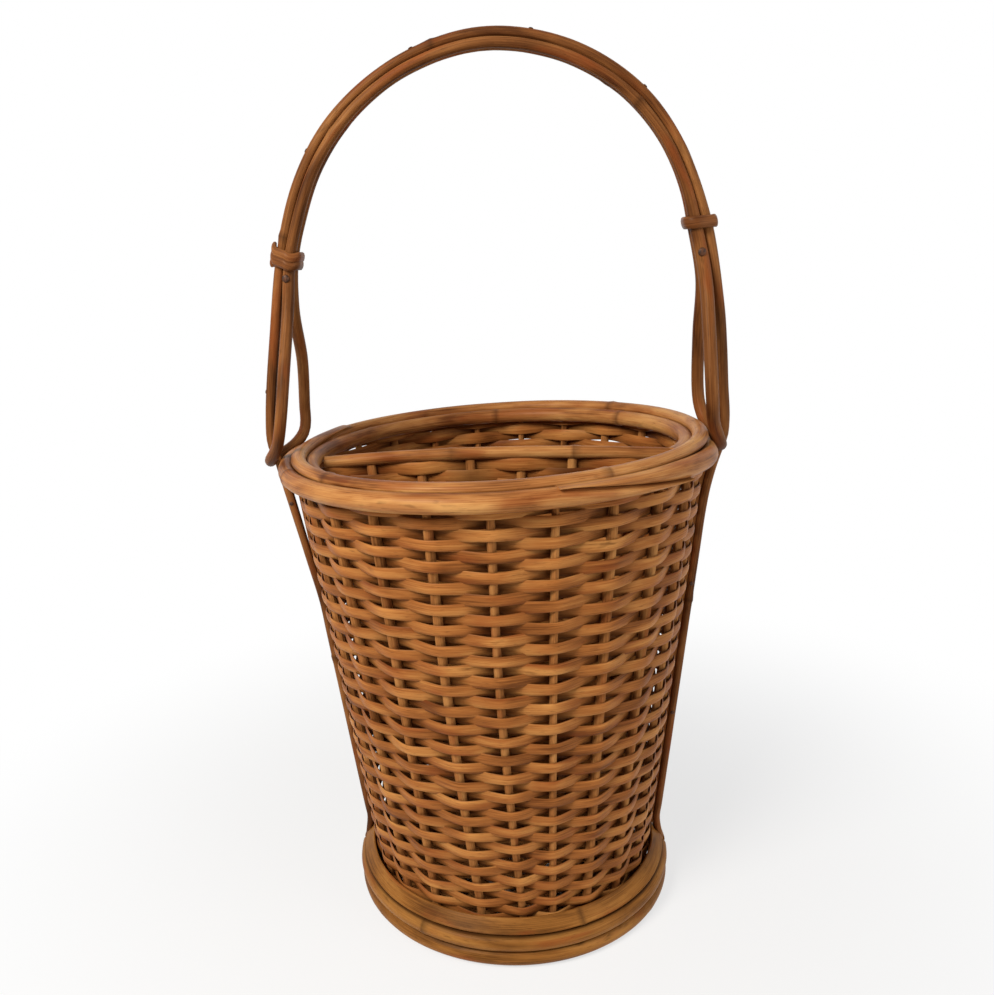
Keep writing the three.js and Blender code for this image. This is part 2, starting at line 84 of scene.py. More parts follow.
DIVIDER_STAKES = 8
DIVIDER_STAKE_INSET = 5 * MM
DIVIDER_FOOT = 19.4 * MM
RAIL_RADIUS = 3.5 * MM
RAIL_REACH = 94.3 * MM
RAIL_DROP, RAIL_TILT, RAIL_BOW = 2.4 * MM, 2.6 * MM, 3 * MM


def open_for_work(piece, kind):
    """Edit mode, in which vertices or edges are chosen."""
    bpy.context.view_layer.objects.active = piece
    bpy.ops.object.mode_set(mode="EDIT")
    bpy.ops.mesh.select_mode(type=kind)


def done():
    """Back to object mode with nothing selected."""
    bpy.ops.object.mode_set(mode="OBJECT")
    bpy.ops.object.select_all(action="DESELECT")


def choose_edges(piece, wanted):
    """Selects a piece's edges by a test on their two ends, and stays in edit mode."""
    open_for_work(piece, "EDGE")
    bpy.ops.mesh.select_all(action="DESELECT")
    bpy.ops.object.mode_set(mode="OBJECT")
    for e in piece.data.edges:
        a, b = (piece.data.vertices[i].co for i in e.vertices)
        e.select = bool(wanted(a, b))
    bpy.ops.object.mode_set(mode="EDIT")


def new_piece(name):
    """The object that an operator has just added, named."""
    piece = bpy.context.object
    piece.name = piece.data.name = name
    return piece


def points_of(piece):
    co = np.empty(len(piece.data.vertices) * 3)
    piece.data.vertices.foreach_get("co", co)
    return co.reshape(-1, 3)


def set_points(piece, co):
    piece.data.vertices.foreach_set("co", co.ravel())
    piece.data.update()


def keep(piece, name, values):
    """Keeps a number or a vector per vertex for the finishes to read."""
    vector = values.ndim == 2
    kept = piece.data.attributes.new(name, "FLOAT_VECTOR" if vector else "FLOAT", "POINT")
    kept.data.foreach_set("vector" if vector else "value", values.ravel().astype(np.float32))


CANE_SMOOTH, FLAT_SMOOTH = 50, 60


def smooth(piece, angle):
    """Shades smooth across edges that bend less than an angle in degrees."""
    piece.select_set(True)
    bpy.context.view_layer.objects.active = piece
    bpy.ops.object.shade_smooth_by_angle(angle=math.radians(angle))
    bpy.ops.object.select_all(action="DESELECT")


def joined(name, pieces):
    for p in pieces:
        p.select_set(True)
    bpy.context.view_layer.objects.active = pieces[0]
    bpy.ops.object.join()
    whole = new_piece(name)
    bpy.ops.object.select_all(action="DESELECT")
    return whole


def uneven(x, pace, y, z):
    """Smooth noise between -1 and 1 along a line. Pace says how fast it changes, y and z which line."""
    return noise.noise(Vector((x * pace, y, z)))


def smooth_route(points, per_span=14):
    """A smooth line through points, the same curve as the CAD's paths follow."""
    p = [Vector(q) for q in points]
    p = [p[0] * 2 - p[1]] + p + [p[-1] * 2 - p[-2]]
    line = []
    for a, b, c, d in zip(p, p[1:], p[2:], p[3:]):
        t0 = (b - a).length ** 0.5
        t1 = (c - b).length ** 0.5
        t2 = (d - c).length ** 0.5
        m1 = ((b - a) / t0 - (c - a) / (t0 + t1) + (c - b) / t1) * t1
        m2 = ((c - b) / t1 - (d - b) / (t1 + t2) + (d - c) / t2) * t1
        for k in range(per_span):
            s = k / per_span
            line.append(b * (2 * s**3 - 3 * s**2 + 1) + m1 * (s**3 - 2 * s**2 + s)
                        + c * (3 * s**2 - 2 * s**3) + m2 * (s**3 - s**2))
    line.append(p[-2])
    return line


def lengths_along(route):
    steps = [(b - a).length for a, b in zip(route, route[1:])]
    return np.concatenate([[0], np.cumsum(steps)])


RING_STEPS = 260
RING_WAVES = 2
UPWARD_LINE, UPWARD_SHARE = 9, 0.6


def ring_route(radius, height, start, turn=360, wobble=0, seed=0, dent=None):
    """A ring's line from an angle on, in degrees, with the slight waver of a bent cane.
    A dent is a list of angles from the right side, of moves outward and of moves upward, in mm."""
    line = []
    for k in range(RING_STEPS + 1):
        degrees = start + turn * k / RING_STEPS
        a = math.radians(degrees)
        x, y = RING_WAVES * math.cos(a), RING_WAVES * math.sin(a)
        out = noise.noise(Vector((x, y, seed))) * wobble
        up = noise.noise(Vector((x, y, seed + UPWARD_LINE))) * wobble * UPWARD_SHARE
        if dent:
            from_right = (degrees + 180) % 360 - 180
            out += float(np.interp(from_right, dent[0], dent[1])) * MM
            up += float(np.interp(from_right, dent[0], dent[2])) * MM
        line.append(Vector(((radius + out) * math.cos(a), (radius + out) * math.sin(a), height + up)))
    return line


def bend_along(piece, route):
    """Bends a straight piece that lies along Z so that it follows a route."""
    curve = bpy.data.curves.new("guide", "CURVE")
    curve.dimensions = "3D"
    curve.use_stretch = True
    curve.use_deform_bounds = True
    spline = curve.splines.new("POLY")
    spline.points.add(len(route) - 1)
    for point, place in zip(spline.points, route):
        point.co = (*place, 1)
    guide = bpy.data.objects.new("guide", curve)
    bpy.context.collection.objects.link(guide)
    bend = piece.modifiers.new("bend", "CURVE")
    bend.object = guide
    bend.deform_axis = "POS_Z"
    bpy.context.view_layer.objects.active = piece
    bpy.ops.object.modifier_apply(modifier="bend")
    bpy.data.objects.remove(guide)


CUTS_AT_A_TIME = 100


def cut_into_rings(piece, length, rings):
    """Cuts a cylinder's long edges until it has as many rings as asked for."""
    parts = 1
    while parts < rings:
        cuts = min(CUTS_AT_A_TIME, math.ceil(rings / parts) - 1)
        long_edge = 0.5 * length / parts
        choose_edges(piece, lambda a, b: abs(a.z - b.z) > long_edge)
        bpy.ops.mesh.subdivide(number_cuts=cuts)
        done()
        parts *= cuts + 1


JOINT_HALF, JOINT_SWELL, JOINT_FADE = 1.7 * MM, 0.45 * MM, 1.2


def move_rings_to(along, joints):
    """Slides three rings of a cane to each joint: its crest and both of its feet."""
    heights = np.unique(np.round(along, 7))
    moved = heights.copy()
    for joint in joints:
        i = int(np.argmin(np.abs(heights - joint)))
        if 1 < i < len(heights) - 2:
            moved[i - 1:i + 2] = joint - JOINT_HALF, joint, joint + JOINT_HALF
    return np.interp(along, heights, moved)


# How a cane's thickness varies: its mean, how oval it is and how much it wavers, as shares
MEAN_SHARE, OVAL_SHARE, WAVER_SHARE = 0.972, 0.01, 0.018
WAVER_PACE, WAVER_LINE, WAVER_PLANE = 1 / 0.03, 7.3, 3.1
# How far round from the middle of its crevice painted shade reaches on a cane, as cosines
CREVICE_EDGE, CREVICE_FULL = 0.78, 0.95
# Each seed takes its grain from another stretch of cane, this much further along
GRAIN_STEP = 1.7


def cane(name, route, radius, seed, sides=16, step=4 * MM, joints=(),
         taper=None, section=None, crevice=None, painted_shade_along=None):
    """A round cane: a cylinder cut into rings, given its joints and its waver, and bent along a route.
    Joints are shares of its length, and so is what taper, section and painted shade are asked for.
    Painted shade also darkens the side of its crevice, a direction across the cane."""
    length = lengths_along(route)[-1]
    bpy.ops.mesh.primitive_cylinder_add(vertices=sides, radius=radius, depth=length,
                                        location=(0, 0, length / 2))
    piece = new_piece(name)
    bpy.ops.object.transform_apply(location=True)
    cut_into_rings(piece, length, math.ceil(length / step))
    co = points_of(piece)
    places = [j * length for j in joints]
    co[:, 2] = along = move_rings_to(co[:, 2], places)
    grain = co + np.array([0, 0, seed * GRAIN_STEP])
    knot = np.zeros(len(co))
    for place in places:
        knot = np.maximum(knot, np.clip(1 - np.abs(along - place) / (JOINT_FADE * JOINT_HALF), 0, 1))
    around = np.arctan2(co[:, 1], co[:, 0])
    thick = MEAN_SHARE + OVAL_SHARE * np.cos(2 * around + seed) + knot * JOINT_SWELL / radius
    thick += WAVER_SHARE * np.array([uneven(a, WAVER_PACE, seed * WAVER_LINE, WAVER_PLANE) for a in along])
    if taper:
        thick *= taper(along / length)
    co[:, 0] *= thick
    co[:, 1] *= thick
    if section:
        co[:, :2] = section(co[:, :2], along / length)
    set_points(piece, co)
    # Painted shade: darker where asked along the cane, and on its side towards its crevice
    soiled = painted_shade_along(along / length) if painted_shade_along else np.zeros(len(co))
    if crevice:
        towards = np.cos(around - math.atan2(crevice[1], crevice[0]))
        soiled = np.maximum(soiled, np.clip((towards - CREVICE_EDGE) / (CREVICE_FULL - CREVICE_EDGE), 0, 1))
    keep(piece, "grain", grain)
    keep(piece, "knot", knot)
    keep(piece, "soiled", soiled)
    bend_along(piece, route)
    smooth(piece, CANE_SMOOTH)
    return piece


def by_place(route, rule):
    """A value along a cane by where it is there."""
    along = lengths_along(route)
    values = [rule(p) for p in route]
    return lambda share: np.interp(share * along[-1], along, values)


def by_height(route, heights, factors):
    """A value along a cane by how high it is there."""
    return by_place(route, lambda p: float(np.interp(p.z, heights, factors)))


# How thick a slanted end still is, as a share of the cane
LAP_END = 0.08


def lapped(lap, radius, widen):
    """Both ends of a ring's cane are cut to a long slant, and one lies on the other."""
    def section(flat, share):
        thin_start = np.clip(share / lap, LAP_END, 1)
        thin_end = np.clip((1 - share) / lap, LAP_END, 1)
        y = radius - (radius - flat[:, 1]) * thin_start
        y = (radius + y) * thin_end - radius
        return np.stack([flat[:, 0] * widen, y], axis=1)
    return section


def stake_circle(z):
    return FOOT_STAKE_CIRCLE + LEAN * max(0.0, z - TAPER_HEIGHT)


def stake_angle(place, z):
    """Angle of a place counted in stakes from the left side rod; the front ones lean over."""
    a = math.pi - STAKE_TURN + place * 2 * math.pi / STAKES
    past = (a - SWAY_MIDDLE) % (2 * math.pi)
    pull = STAKE_SWAY * math.exp(-(min(past, 2 * math.pi - past) / SWAY_WIDTH) ** 2)
    return a + pull * max(0.0, 1 - max(z, TAPER_HEIGHT) / SWAY_HEIGHT) ** SWAY_FALL


def on_wall(place, z, out=0.0):
    a = stake_angle(place, z)
    r = stake_circle(z) + out
    return Vector((r * math.cos(a), r * math.sin(a), z))


# Cross-section of a strip of split cane: across from -1 to 1, and out from -1, flat, to 1, round
STRIP_SECTION = [(-1, -0.15), (-0.82, -0.8), (0, -1), (0.82, -0.8), (1, -0.15),
                 (0.9, 0.45), (0.5, 0.88), (0, 1), (-0.5, 0.88), (-0.9, 0.45)]
STRIP_HALF_THICK = 0.65 * MM
# How dark the painted shade is on the side that a stake covers, between stakes and towards a strip's edges
PAINTED_SHADE_COVERED, PAINTED_SHADE_BETWEEN, PAINTED_SHADE_AT_EDGES = 0.8, 0.15, 0.3
SAME_PLACE = 1e-6


def strip(name, stations, seed=0):
    """A woven strip: a long grid rolled up, each row of it laid at its station.
    A station is its middle, the way up, the way out, half its width, half its thickness and
    whether it lies over (1) or under (-1) there. Painted shade darkens the side that a stake covers."""
    rows, sides = len(stations), len(STRIP_SECTION)
    bpy.ops.mesh.primitive_grid_add(x_subdivisions=rows - 1, y_subdivisions=sides, size=1)
    piece = new_piece(name)
    co = points_of(piece)
    row = np.rint((co[:, 0] + 0.5) * (rows - 1)).astype(int)
    side = np.rint((co[:, 1] + 0.5) * sides).astype(int) % sides
    middle, up, out = (np.array([s[i] for s in stations]) for i in range(3))
    half = np.array([s[3:5] for s in stations])
    wave = np.array([s[5] for s in stations])[row]
    shape = np.array(STRIP_SECTION)[side]
    across = shape[:, 0] * half[row, 0]
    deep = shape[:, 1] * half[row, 1]
    along = np.concatenate([[0], np.cumsum(np.linalg.norm(np.diff(middle, axis=0), axis=1))])
    set_points(piece, middle[row] + up[row] * across[:, None] + out[row] * deep[:, None])
    keep(piece, "grain", np.stack([across, deep, along[row] + seed * GRAIN_STEP], axis=1))
    # Painted shade: on the side that a stake covers, and between stakes, most towards the strip's edges
    covered = np.clip(-wave * np.sign(shape[:, 1]), 0, 1)
    beside = PAINTED_SHADE_BETWEEN + PAINTED_SHADE_AT_EDGES * np.abs(shape[:, 0]) ** 2
    keep(piece, "soiled", covered * PAINTED_SHADE_COVERED + (1 - np.abs(wave)) * beside)
    open_for_work(piece, "VERT")
    bpy.ops.mesh.select_all(action="SELECT")
    bpy.ops.mesh.remove_doubles(threshold=SAME_PLACE)
    bpy.ops.mesh.select_all(action="DESELECT")
    bpy.ops.mesh.select_non_manifold()
    bpy.ops.mesh.edge_face_add()
    bpy.ops.mesh.select_all(action="SELECT")
    bpy.ops.mesh.normals_make_consistent(inside=False)
    done()
    smooth(piece, FLAT_SMOOTH)
    return piece


WEAVE_CEILING = 272 * MM
WEAVE_FLOOR = 3.4 * MM
# The weaver starts above the ceiling, so that its first turn is cut off level
FIRST_ROW = 276.44 * MM
FIRST_PLACE = -53
PITCH_HEIGHT = 271.3 * MM
PITCH_AT_TOP = 4.95 * MM
PITCH_GROWTH = 0.0085
PITCH_MOST = 5.85 * MM
WEAVE_SWING = 2.85 * MM
WEAVE_SHARPNESS = 0.93
# A weaver is pressed narrower outside, where it lies over a stake, than inside
OVERLAP_MIDDLE, OVERLAP_CHANGE = 1.15 * MM, 0.8 * MM
STRIP_LEAST = 0.8 * MM
STEPS_PER_STAKE = 8
# The rows' unevenness: the noise's pace and line, and how far it goes; kicks are rare and upward
LIFT_NOISE, LIFT_MOST = (0.71, 1.3, 5.0), 1.1 * MM
KICK_NOISE, KICK_ABOVE, KICK = (0.53, 8.3, 2.0), 0.42, 0.8 * MM
WIDTH_NOISE, WIDTH_SHARE = (0.37, 1.5, 0.4), 0.08
CALM_HEIGHT = 12 * MM


def weave_wave(k):
    """Over at even numbers and under at odd ones, and nearly straight between, as stiff strips lie."""
    return math.asin(WEAVE_SHARPNESS * math.cos(math.pi * k)) / math.asin(WEAVE_SHARPNESS)


def wall_weave():
    """One weaver wound round and round from the rim down, over one stake and under the next."""
    lean = Vector((LEAN, 1)).normalized()
    heights, pitches = [FIRST_ROW], [PITCH_AT_TOP]
    while heights[-1] > WEAVE_FLOOR - PITCH_MOST / 2:
        pitches.append(min(PITCH_MOST, PITCH_AT_TOP + PITCH_GROWTH * (PITCH_HEIGHT - heights[-1])))
        heights.append(heights[-1] - pitches[-1] / STAKES)
    lift = []
    for k in range(len(heights)):
        kick = KICK if uneven(k, *KICK_NOISE) > KICK_ABOVE else 0
        lift.append(uneven(k, *LIFT_NOISE) * LIFT_MOST + kick)
    stations = []
    for k in range(len(heights) - 1):
        for s in range(STEPS_PER_STAKE):
            f = s / STEPS_PER_STAKE
            ease = f * f * (3 - 2 * f)
            z = heights[k] * (1 - f) + heights[k + 1] * f
            calm = min(1.0, max(0.0, (WEAVE_CEILING - z) / CALM_HEIGHT))
            z += calm * (lift[k] * (1 - ease) + lift[k + 1] * ease)
            wave = weave_wave(k + f)
            width = pitches[k] + OVERLAP_MIDDLE - OVERLAP_CHANGE * wave
            width *= 1 + WIDTH_SHARE * uneven(k + f, *WIDTH_NOISE)
            top = min(WEAVE_CEILING, z + width / 2)
            bottom = max(WEAVE_FLOOR, z - width / 2)
            if top - bottom < STRIP_LEAST:
                continue
            z = (top + bottom) / 2
            place = FIRST_PLACE + k + f
            a = stake_angle(place, z)
            outward = Vector((math.cos(a), math.sin(a), 0))
            leans = z > TAPER_HEIGHT
            up = outward * lean.x + UP * lean.y if leans else UP
            out = outward * lean.y - UP * lean.x if leans else outward
            stations.append((on_wall(place, z, wave * WEAVE_SWING), up, out, (top - bottom) / 2,
                             STRIP_HALF_THICK, wave))
    return strip("woven_wall", stations)


def rail_height(x):
    share = x / RAIL_REACH
    return RIM_HEIGHT - RAIL_DROP - RAIL_TILT * share - RAIL_BOW * share ** 2


def divider_x(place, z):
    """Where a place counted in stakes lies across the basket; the stakes fan out with the wall."""
    last = stake_circle(z) - WALL_HALF - DIVIDER_STAKE_INSET
    return last * (2 * place / (DIVIDER_STAKES - 1) - 1)


DIVIDER_ROWS = 45
DIVIDER_SWING = 2.4 * MM
DIVIDER_OVERLAP = 1.6 * MM
DIVIDER_PACES, DIVIDER_LINE, DIVIDER_LIFT = (55, 700), 6.0, 0.7 * MM
TURN_STEPS = 6


def divider_weave():
    """One weaver to and fro between the stakes, turned back round the last one on either side."""
    lowest = rail_height(RAIL_REACH) - RAIL_RADIUS
    pitch = (lowest - DIVIDER_FOOT) / DIVIDER_ROWS
    stations = []

    def lay(place, x, y, z, heading, wave):
        # The rows are spread a little where the bowed rail leaves them more room
        x += divider_x(place, z)
        room = (rail_height(x) - RAIL_RADIUS - DIVIDER_FOOT) / (lowest - DIVIDER_FOOT)
        lift = noise.noise(Vector((x * DIVIDER_PACES[0], z * DIVIDER_PACES[1], DIVIDER_LINE))) * DIVIDER_LIFT
        z = DIVIDER_FOOT + (z - DIVIDER_FOOT) * room + lift
        out = Vector((heading.y, -heading.x, 0))
        stations.append((Vector((x, y, z)), UP, out, (pitch * room + DIVIDER_OVERLAP) / 2,
                         STRIP_HALF_THICK, wave))

    for row in range(DIVIDER_ROWS):
        z = DIVIDER_FOOT + pitch * (row + 0.5)
        way = -1 if row % 2 else 1
        last = DIVIDER_STAKES - 1
        for s in range(1, last * STEPS_PER_STAKE):
            place = s / STEPS_PER_STAKE if way > 0 else last - s / STEPS_PER_STAKE
            wave = weave_wave(place + row)
            lay(place, 0, -wave * DIVIDER_SWING, z, Vector((way, 0, 0)), wave)
        end = last if way > 0 else 0
        side = math.cos(math.pi * (end + row))
        for s in range(TURN_STEPS + 1 if row + 1 < DIVIDER_ROWS else 1):
            a = math.pi * (s / TURN_STEPS - 0.5)
            heading = Vector((-way * math.sin(a), side * math.cos(a), 0))
            lay(end, way * DIVIDER_SWING * math.cos(a), side * DIVIDER_SWING * math.sin(a),
                z + pitch * s / TURN_STEPS, heading, 0)
    return strip("woven_divider", stations, seed=3)


BASE_MIDDLE = 15.5 * MM
BASE_REACH = 80.8 * MM
BASE_STICKS = 6
BASE_STICK_RADIUS = 1.7 * MM
BASE_STICK_PITCH = 3.7 * MM
BASE_CROSS = 10 * MM
BASE_WEAVE_START = 17 * MM
BASE_PITCH = 5.3 * MM
BASE_SWING = 1.8 * MM
BASE_STRIP = BASE_PITCH + 0.9 * MM


def woven_base():
    """Six sticks laid across six, spread like spokes, and two weavers wound through them."""
    spokes = 4 * BASE_STICKS
    pieces = []
    for group in (0, 1):
        turned = Matrix.Rotation(group * math.pi / 2, 3, "Z")
        rise = BASE_STICK_RADIUS * (1 - 2 * group)
        for j in range(BASE_STICKS):
            beside = j - (BASE_STICKS - 1) / 2
            a = beside * 2 * math.pi / spokes
            end = Vector((BASE_REACH * math.cos(a), BASE_REACH * math.sin(a), BASE_MIDDLE))
            bend = Vector((BASE_CROSS, beside * BASE_STICK_PITCH, BASE_MIDDLE + rise))
            half = [end, end.lerp(bend, 0.5), bend]
            other = [Vector((-p.x, p.y, p.z)) for p in reversed(half)]
            route = smooth_route([turned @ p for p in half + other], per_span=8)
            pieces.append(cane("stick", route, BASE_STICK_RADIUS, sides=8, step=6 * MM,
                               seed=60 + BASE_STICKS * group + j))
    for weaver in (0, 1):
        stations = []
        r = BASE_WEAVE_START + weaver * BASE_PITCH
        k = 0
        while r < BASE_REACH:
            a = 2 * math.pi * k / (spokes * STEPS_PER_STAKE)
            wave = math.cos(spokes / 2 * a) * (1 - 2 * weaver)
            outward = Vector((math.cos(a), math.sin(a), 0))
            edge = min(BASE_REACH, r + BASE_STRIP / 2)
            half_width = (edge - r + BASE_STRIP / 2) / 2
            middle = outward * (edge - half_width) + UP * (BASE_MIDDLE + wave * BASE_SWING)
            stations.append((middle, outward, UP, half_width, STRIP_HALF_THICK, wave))
            r += 2 * BASE_PITCH / (spokes * STEPS_PER_STAKE)
            k += 1
        pieces.append(strip("weaver", stations, seed=11 + weaver))
    return joined("woven_base", pieces)


# The hoop's bends, as shares of its half width and of its rise above the rim
HOOP_BEND = [(0.845, 0.562), (0.733, 0.732), (0.573, 0.858), (0.315, 0.959)]
LEFT_BEND = [(1.009, 0.05), (0.997, 0.135), (0.928, 0.346), *HOOP_BEND]
RIGHT_BEND = [(0.972, 0.05), (0.958, 0.135), (0.942, 0.24), (0.92, 0.346), *HOOP_BEND]
HOOP_BULGE = 1.3 * MM
# The side rods are thinner than the hoop, up to a height near the rim, and lie nearer the wall
SIDE_ROD_SHARE = 0.82
SIDE_ROD_THICKENS = (230 * MM, 288 * MM)
SIDE_ROD_OFFSET = WALL_HALF + 1.8 * MM + SIDE_ROD_SHARE * HANDLE_RADIUS
SIDE_ROD_REACH = 95.8 * MM
SIDE_ROD_END = 10.8 * MM
# They follow the wall up to a height below the rim, and swing clear of it from there
WALL_SHARES, SWING_SHARES = (0, 0.06, 0.25, 0.5, 0.75, 0.88, 1), (0.3, 0.6, 0.85, 1)
LEFT_SWING, RIGHT_SWING = 85 * MM, 38 * MM
RIGHT_ROD_AT_RIM = 118.1 * MM
BUNDLE_SHARES = [0.995, 0.964, 0.881, 0.714, 0.476, 0.214, 0]
# The rods are thinner, and lie closer, over the crown and on the right than at the collars
CROWN_SHARE = 0.81
CROWN_HEIGHTS = (376 * MM, 398 * MM)
CROWN_PLACES = (-98 * MM, -45 * MM)
ROD_END_GAP = 0.05 * MM
# The legs of a loop, down from the collar: shares of the height, of the inset and of the spread
LEG_BEND = [(0.692, 0.6, 0.22), (0.346, 0.9, 0.72), (0, 1, 1)]
LEG_SPREAD = {1: 22 * MM, -1: 26.5 * MM}
LEG_INSET = {1: 9 * MM, -1: 12.7 * MM}
LEG_SPREAD_HEIGHT = RIM_HEIGHT + 23 * MM
LEG_SHARE, LEG_THICKENS = 1.13, (360 * MM, 385 * MM)
# Where the loops turn, in mm, from the back leg to the front leg
LOOP_TURN = {1: [(109, 21, 289), (111.3, 17, 281.5), (114.8, 7, 275), (116.4, -5, 271.6),
                 (114.4, -10.5, 275.5), (110.3, -16, 285)],
             -1: [(109.2, 26, 291.5), (110.6, 24.4, 285.5), (114.4, 18.6, 280.4),
                  (119.6, 10.6, 277.2), (124, 2, 275.4), (122.4, -9, 276.8), (114.2, -20, 286)]}
# Painted shadow on the loops' turns under the rim: how dark, and the heights over which it fades out
LOOP_PAINTED_SHADOW, LOOP_PAINTED_SHADOW_ENDS = 0.8, (271 * MM, 281 * MM)


def half_spine(swing, ease, at_rim, bend):
    """One side of the top rod, from its foot to the crown, as distances out and heights."""
    leaves = RIM_HEIGHT - swing
    meets = TAPER_HEIGHT + FOOT_RADIUS
    line = [(SIDE_ROD_REACH, SIDE_ROD_END), (SIDE_ROD_REACH, UPPER_FOOT_HEIGHT + FOOT_RADIUS / 2)]
    for share in WALL_SHARES:
        z = meets + share * (leaves - meets)
        line.append((stake_circle(z) + SIDE_ROD_OFFSET, z))
    rest = at_rim - stake_circle(RIM_HEIGHT) - SIDE_ROD_OFFSET
    for share in SWING_SHARES:
        z = leaves + share * swing
        line.append((stake_circle(z) + SIDE_ROD_OFFSET + share ** ease * rest, z))
    for wide, up in bend:
        line.append((wide * (ROD_AT_RIM + HOOP_BULGE), RIM_HEIGHT + up * HOOP_RISE))
    return line


def spine_route():
    right = [(x, 0, z) for x, z in half_spine(RIGHT_SWING, 2, RIGHT_ROD_AT_RIM, RIGHT_BEND)]
    left = [(-x, 0, z) for x, z in reversed(half_spine(LEFT_SWING, 1, ROD_AT_RIM, LEFT_BEND))]
    return smooth_route([*right, (0, 0, HOOP_TOP), *left])


def crown_share(point):
    high = float(np.interp(point.z, CROWN_HEIGHTS, (0, 1)))
    return 1 - (1 - CROWN_SHARE) * high * float(np.interp(point.x, CROWN_PLACES, (0, 1)))


def spine_share(point):
    return float(np.interp(point.z, SIDE_ROD_THICKENS, (SIDE_ROD_SHARE, 1))) * crown_share(point)


def loop_share(point):
    return float(np.interp(point.z, LEG_THICKENS, (LEG_SHARE, 1))) * crown_share(point)


def on_spine(route, height, side):
    """Point of the top rod on one side at a height, the way up along it and the way into the hoop."""
    for a, b in zip(route, route[1:]):
        low, high = (a, b) if a.z <= b.z else (b, a)
        if a.x * side > 0 and low.z <= height <= high.z:
            along = (high - low).normalized()
            point = low.lerp(high, (height - low.z) / (high.z - low.z))
            return point, along, Vector((-along.z, 0, along.x)) * side
    return None


def half_loop(spine, side):
    """One side of the long rod: down from the crown behind, round, and up to the crown in front."""
    arch = []
    for share in BUNDLE_SHARES:
        point, _, inward = on_spine(spine, COLLAR_HEIGHT + share * (HOOP_TOP - COLLAR_HEIGHT), side)
        close = crown_share(point)
        point = point + inward * PAIR_DROP * close
        arch.append(Vector((point.x, PAIR_HALF * close, point.z)))
    for up, inset, spread in LEG_BEND:
        z = LEG_SPREAD_HEIGHT + up * (COLLAR_HEIGHT - LEG_SPREAD_HEIGHT)
        x = on_spine(spine, z, side)[0].x - side * inset * LEG_INSET[side]
        arch.append(Vector((x, spread * LEG_SPREAD[side], z)))
    turn = [Vector((side * x * MM, y * MM, z * MM)) for x, y, z in LOOP_TURN[side]]
    return arch + turn + [Vector((p.x, -p.y, p.z)) for p in reversed(arch)]


def loop_route(spine):
    """One long rod makes both inner rods of the hoop and the two loops that hang from it."""
    crown = HOOP_TOP - PAIR_DROP * CROWN_SHARE
    beside = PAIR_HALF * CROWN_SHARE
    return smooth_route([Vector((ROD_END_GAP, beside, crown)), *half_loop(spine, 1),
                         Vector((0, -beside, crown)), *reversed(half_loop(spine, -1)),
                         Vector((-ROD_END_GAP, beside, crown))])


COLLAR_STEPS = 48
COLLAR_CLEARANCE = 0.15 * MM
DIP_MIDDLE = 0.4
# The collar's stations take this as their wave, which sets only their painted shade
COLLAR_WAVE = 0.2


def collar(name, spine, side, turns, half_width, half_thick, pitch, dip, tilt, seed):
    """A strip of cane wound round the three handle rods. It dips where it crosses in front,
    and tilts up towards the inside of the hoop."""
    point, along, inward = on_spine(spine, COLLAR_HEIGHT, side)
    across = Vector((0, 1, 0))
    stations = []
    for k in range(int(turns * COLLAR_STEPS) + 1):
        a = 2 * math.pi * ((k / COLLAR_STEPS) % 1) - math.pi / 2
        heading = across * math.cos(a) + inward * math.sin(a)
        # Each third of a turn bends round another rod: the top one, the back one, the front one
        degrees = math.degrees(a) + 90
        if 60 <= degrees < 180:
            centre = across * PAIR_HALF + inward * PAIR_DROP
        elif 180 <= degrees < 300:
            centre = -across * PAIR_HALF + inward * PAIR_DROP
        else:
            centre = Vector()
        front = max(0.0, -heading.y)
        beside = centre + heading * (HANDLE_RADIUS + half_thick + COLLAR_CLEARANCE)
        shift = pitch * (k / COLLAR_STEPS - turns / 2) - dip * (front ** 2 - DIP_MIDDLE)
        shift += tilt * beside.dot(inward)
        stations.append((point + beside + along * shift, along, heading, half_width, half_thick, COLLAR_WAVE))
    return strip(name, stations, seed=seed)


NAIL_FLATNESS = 0.35


def nail(name, place, facing, size):
    """The flat round head of a nail, a little sunk."""
    bpy.ops.mesh.primitive_uv_sphere_add(segments=14, ring_count=8, radius=size)
    head = new_piece(name)
    bpy.ops.object.mode_set(mode="EDIT")
    bpy.ops.mesh.select_all(action="SELECT")
    bpy.ops.transform.resize(value=(1, 1, NAIL_FLATNESS))
    bpy.ops.object.mode_set(mode="OBJECT")
    head.rotation_mode = "QUATERNION"
    head.rotation_quaternion = facing.to_track_quat("Z", "Y")
    head.location = place
    bpy.ops.object.transform_apply(location=True, rotation=True)
    smooth(head, FLAT_SMOOTH)
    return head


class Field:
    """A socket of a finish, so that its maths reads as plain expressions."""

    def __init__(self, finish, socket):
        self.finish, self.socket = finish, socket

    def _math(self, operation, a, b):
        return self.finish.node("ShaderNodeMath", {"operation": operation}, {0: a, 1: b})

    def __add__(self, other):
        return self._math("ADD", self, other)

    def __sub__(self, other):
        return self._math("SUBTRACT", self, other)

    def __rsub__(self, other):
        return self._math("SUBTRACT", other, self)

    def __mul__(self, other):
        return self._math("MULTIPLY", self, other)

    def most(self, other):
        return self._math("MAXIMUM", self, other)

    __radd__, __rmul__ = __add__, __mul__


